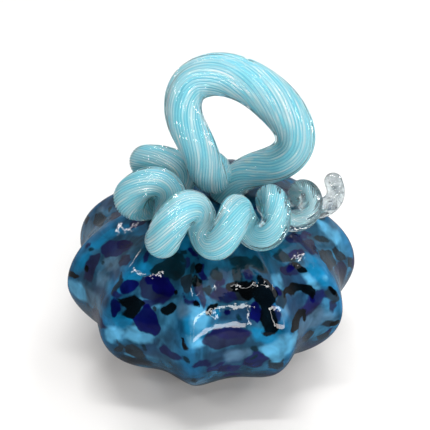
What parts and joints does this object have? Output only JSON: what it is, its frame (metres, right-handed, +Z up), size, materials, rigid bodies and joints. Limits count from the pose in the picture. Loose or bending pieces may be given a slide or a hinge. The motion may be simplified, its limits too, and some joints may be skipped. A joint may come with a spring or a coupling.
{
  "type": "blown glass pumpkin ornament",
  "caption": "Ribbed, squat blown-glass pumpkin on a small flat foot, with one drawn glass cane that loops up as a stem and coils over the crown as a vine.",
  "frame": {"origin": "middle of the small flat foot that the body stands on", "axes": "+Z up, -Y towards the side where the vine curls, +X to the right seen from that side"},
  "size_m": [0.0792, 0.0786, 0.0897],
  "materials": {
    "fritted_blue_glass": "gloss",
    "pale_turquoise_glass": "gloss"
  },
  "bodies": {
    "root": {"glass_body": "fritted_blue_glass", "glass_cane_stem": "pale_turquoise_glass"}
  },
  "joints": []
}
